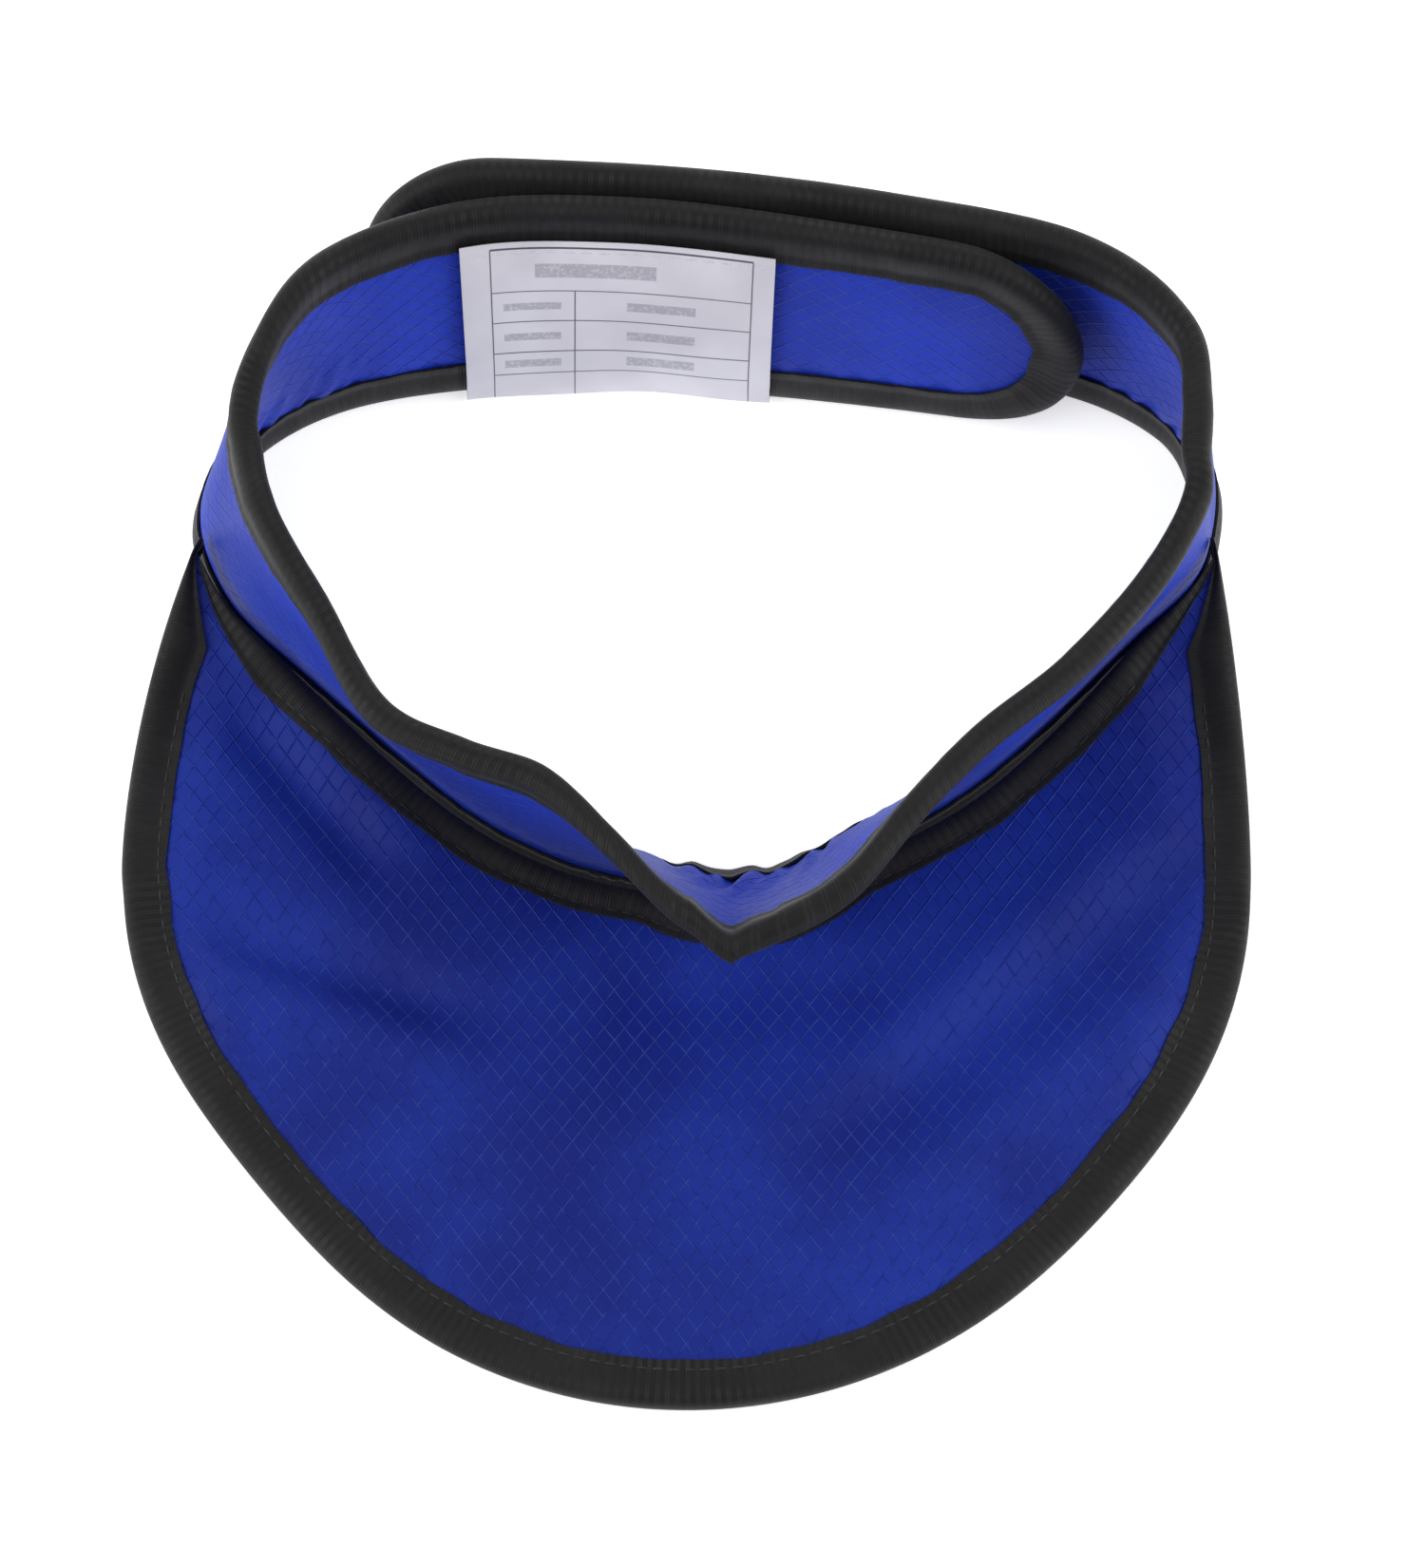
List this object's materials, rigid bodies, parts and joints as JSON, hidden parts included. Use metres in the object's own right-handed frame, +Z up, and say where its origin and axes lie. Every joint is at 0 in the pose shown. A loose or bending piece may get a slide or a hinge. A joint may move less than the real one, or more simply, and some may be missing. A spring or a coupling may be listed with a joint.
{
  "type": "lead thyroid collar",
  "caption": "Lead-rubber neck collar in blue ripstop cloth with dark bound edges, an overlapping rear closure and a half-round bib.",
  "frame": {"origin": "on the table, at the middle of the collar's footprint", "axes": "+Z up from the table, -Y towards the bib's round edge (the wearer's front), +Y towards the rear closure, +X to the side of the outer arm"},
  "size_m": [0.198, 0.2236, 0.0451],
  "materials": {
    "cover_cloth": "satin royal-blue ripstop nylon with a fine diamond grid",
    "lining_cloth": "satin royal-blue ripstop nylon, the same cloth as the cover",
    "lead_rubber": "matt grey lead-loaded rubber sheet, hidden inside",
    "binding_tape": "black ribbed binding tape with a low sheen",
    "hook_tape": "black hook tape, stiff plastic hooks on a woven backing",
    "loop_tape": "black loop tape, soft brushed pile",
    "sewing_thread": "black polyester sewing thread",
    "label_cloth": "smooth white label satin with a plain ruled grid",
    "label_thread": "white polyester sewing thread"
  },
  "bodies": {
    "front": {"front_shell": "cover_cloth", "front_lining": "lining_cloth", "front_lead_sheet": "lead_rubber", "front_top_binding": "binding_tape", "front_hem_binding": "binding_tape", "front_top_thread": "sewing_thread", "front_hem_thread": "sewing_thread", "centre_seam_thread": "sewing_thread"},
    "left_arm": {"left_arm_shell": "cover_cloth", "left_arm_lining": "lining_cloth", "left_arm_lead_sheet": "lead_rubber", "left_arm_binding": "binding_tape", "left_arm_thread": "sewing_thread", "loop_tape": "loop_tape", "loop_tape_thread": "sewing_thread", "label_thread": "label_thread"},
    "label": {"label": "label_cloth"},
    "right_arm": {"right_arm_shell": "cover_cloth", "right_arm_lining": "lining_cloth", "right_arm_lead_sheet": "lead_rubber", "right_arm_binding": "binding_tape", "right_arm_thread": "sewing_thread", "hook_tape": "hook_tape", "hook_tape_thread": "sewing_thread"},
    "bib": {"bib_shell": "cover_cloth", "bib_lining": "lining_cloth", "bib_lead_sheet": "lead_rubber", "bib_edge_binding": "binding_tape", "bib_neck_binding": "binding_tape", "bib_edge_thread": "sewing_thread", "bib_neck_thread": "sewing_thread"}
  },
  "joints": [
    {"name": "right_arm_opens", "type": "hinge", "parent": "front", "child": "right_arm", "pos_m": [0.0937, 0.0536, 0], "axis": [0, 0, -1], "range_deg": [0, 85]},
    {"name": "left_arm_opens", "type": "hinge", "parent": "front", "child": "left_arm", "pos_m": [-0.08665, 0.05355, 0], "axis": [0, 0, 1], "range_deg": [0, 22]},
    {"name": "bib_folds", "type": "hinge", "parent": "front", "child": "bib", "pos_m": [0.008, -0.0152, 0.0014], "axis": [1, 0, 0], "range_deg": [0, 75]},
    {"name": "label_lifts", "type": "hinge", "parent": "left_arm", "child": "label", "pos_m": [-0.0118, 0.09472, 0.03616], "axis": [-0.9996, 0.0265, 0], "range_deg": [0, 120]}
  ],
  "couplings": [
    {"joint": "left_arm_opens", "follows": "right_arm_opens", "ratio": 0.25}
  ]
}
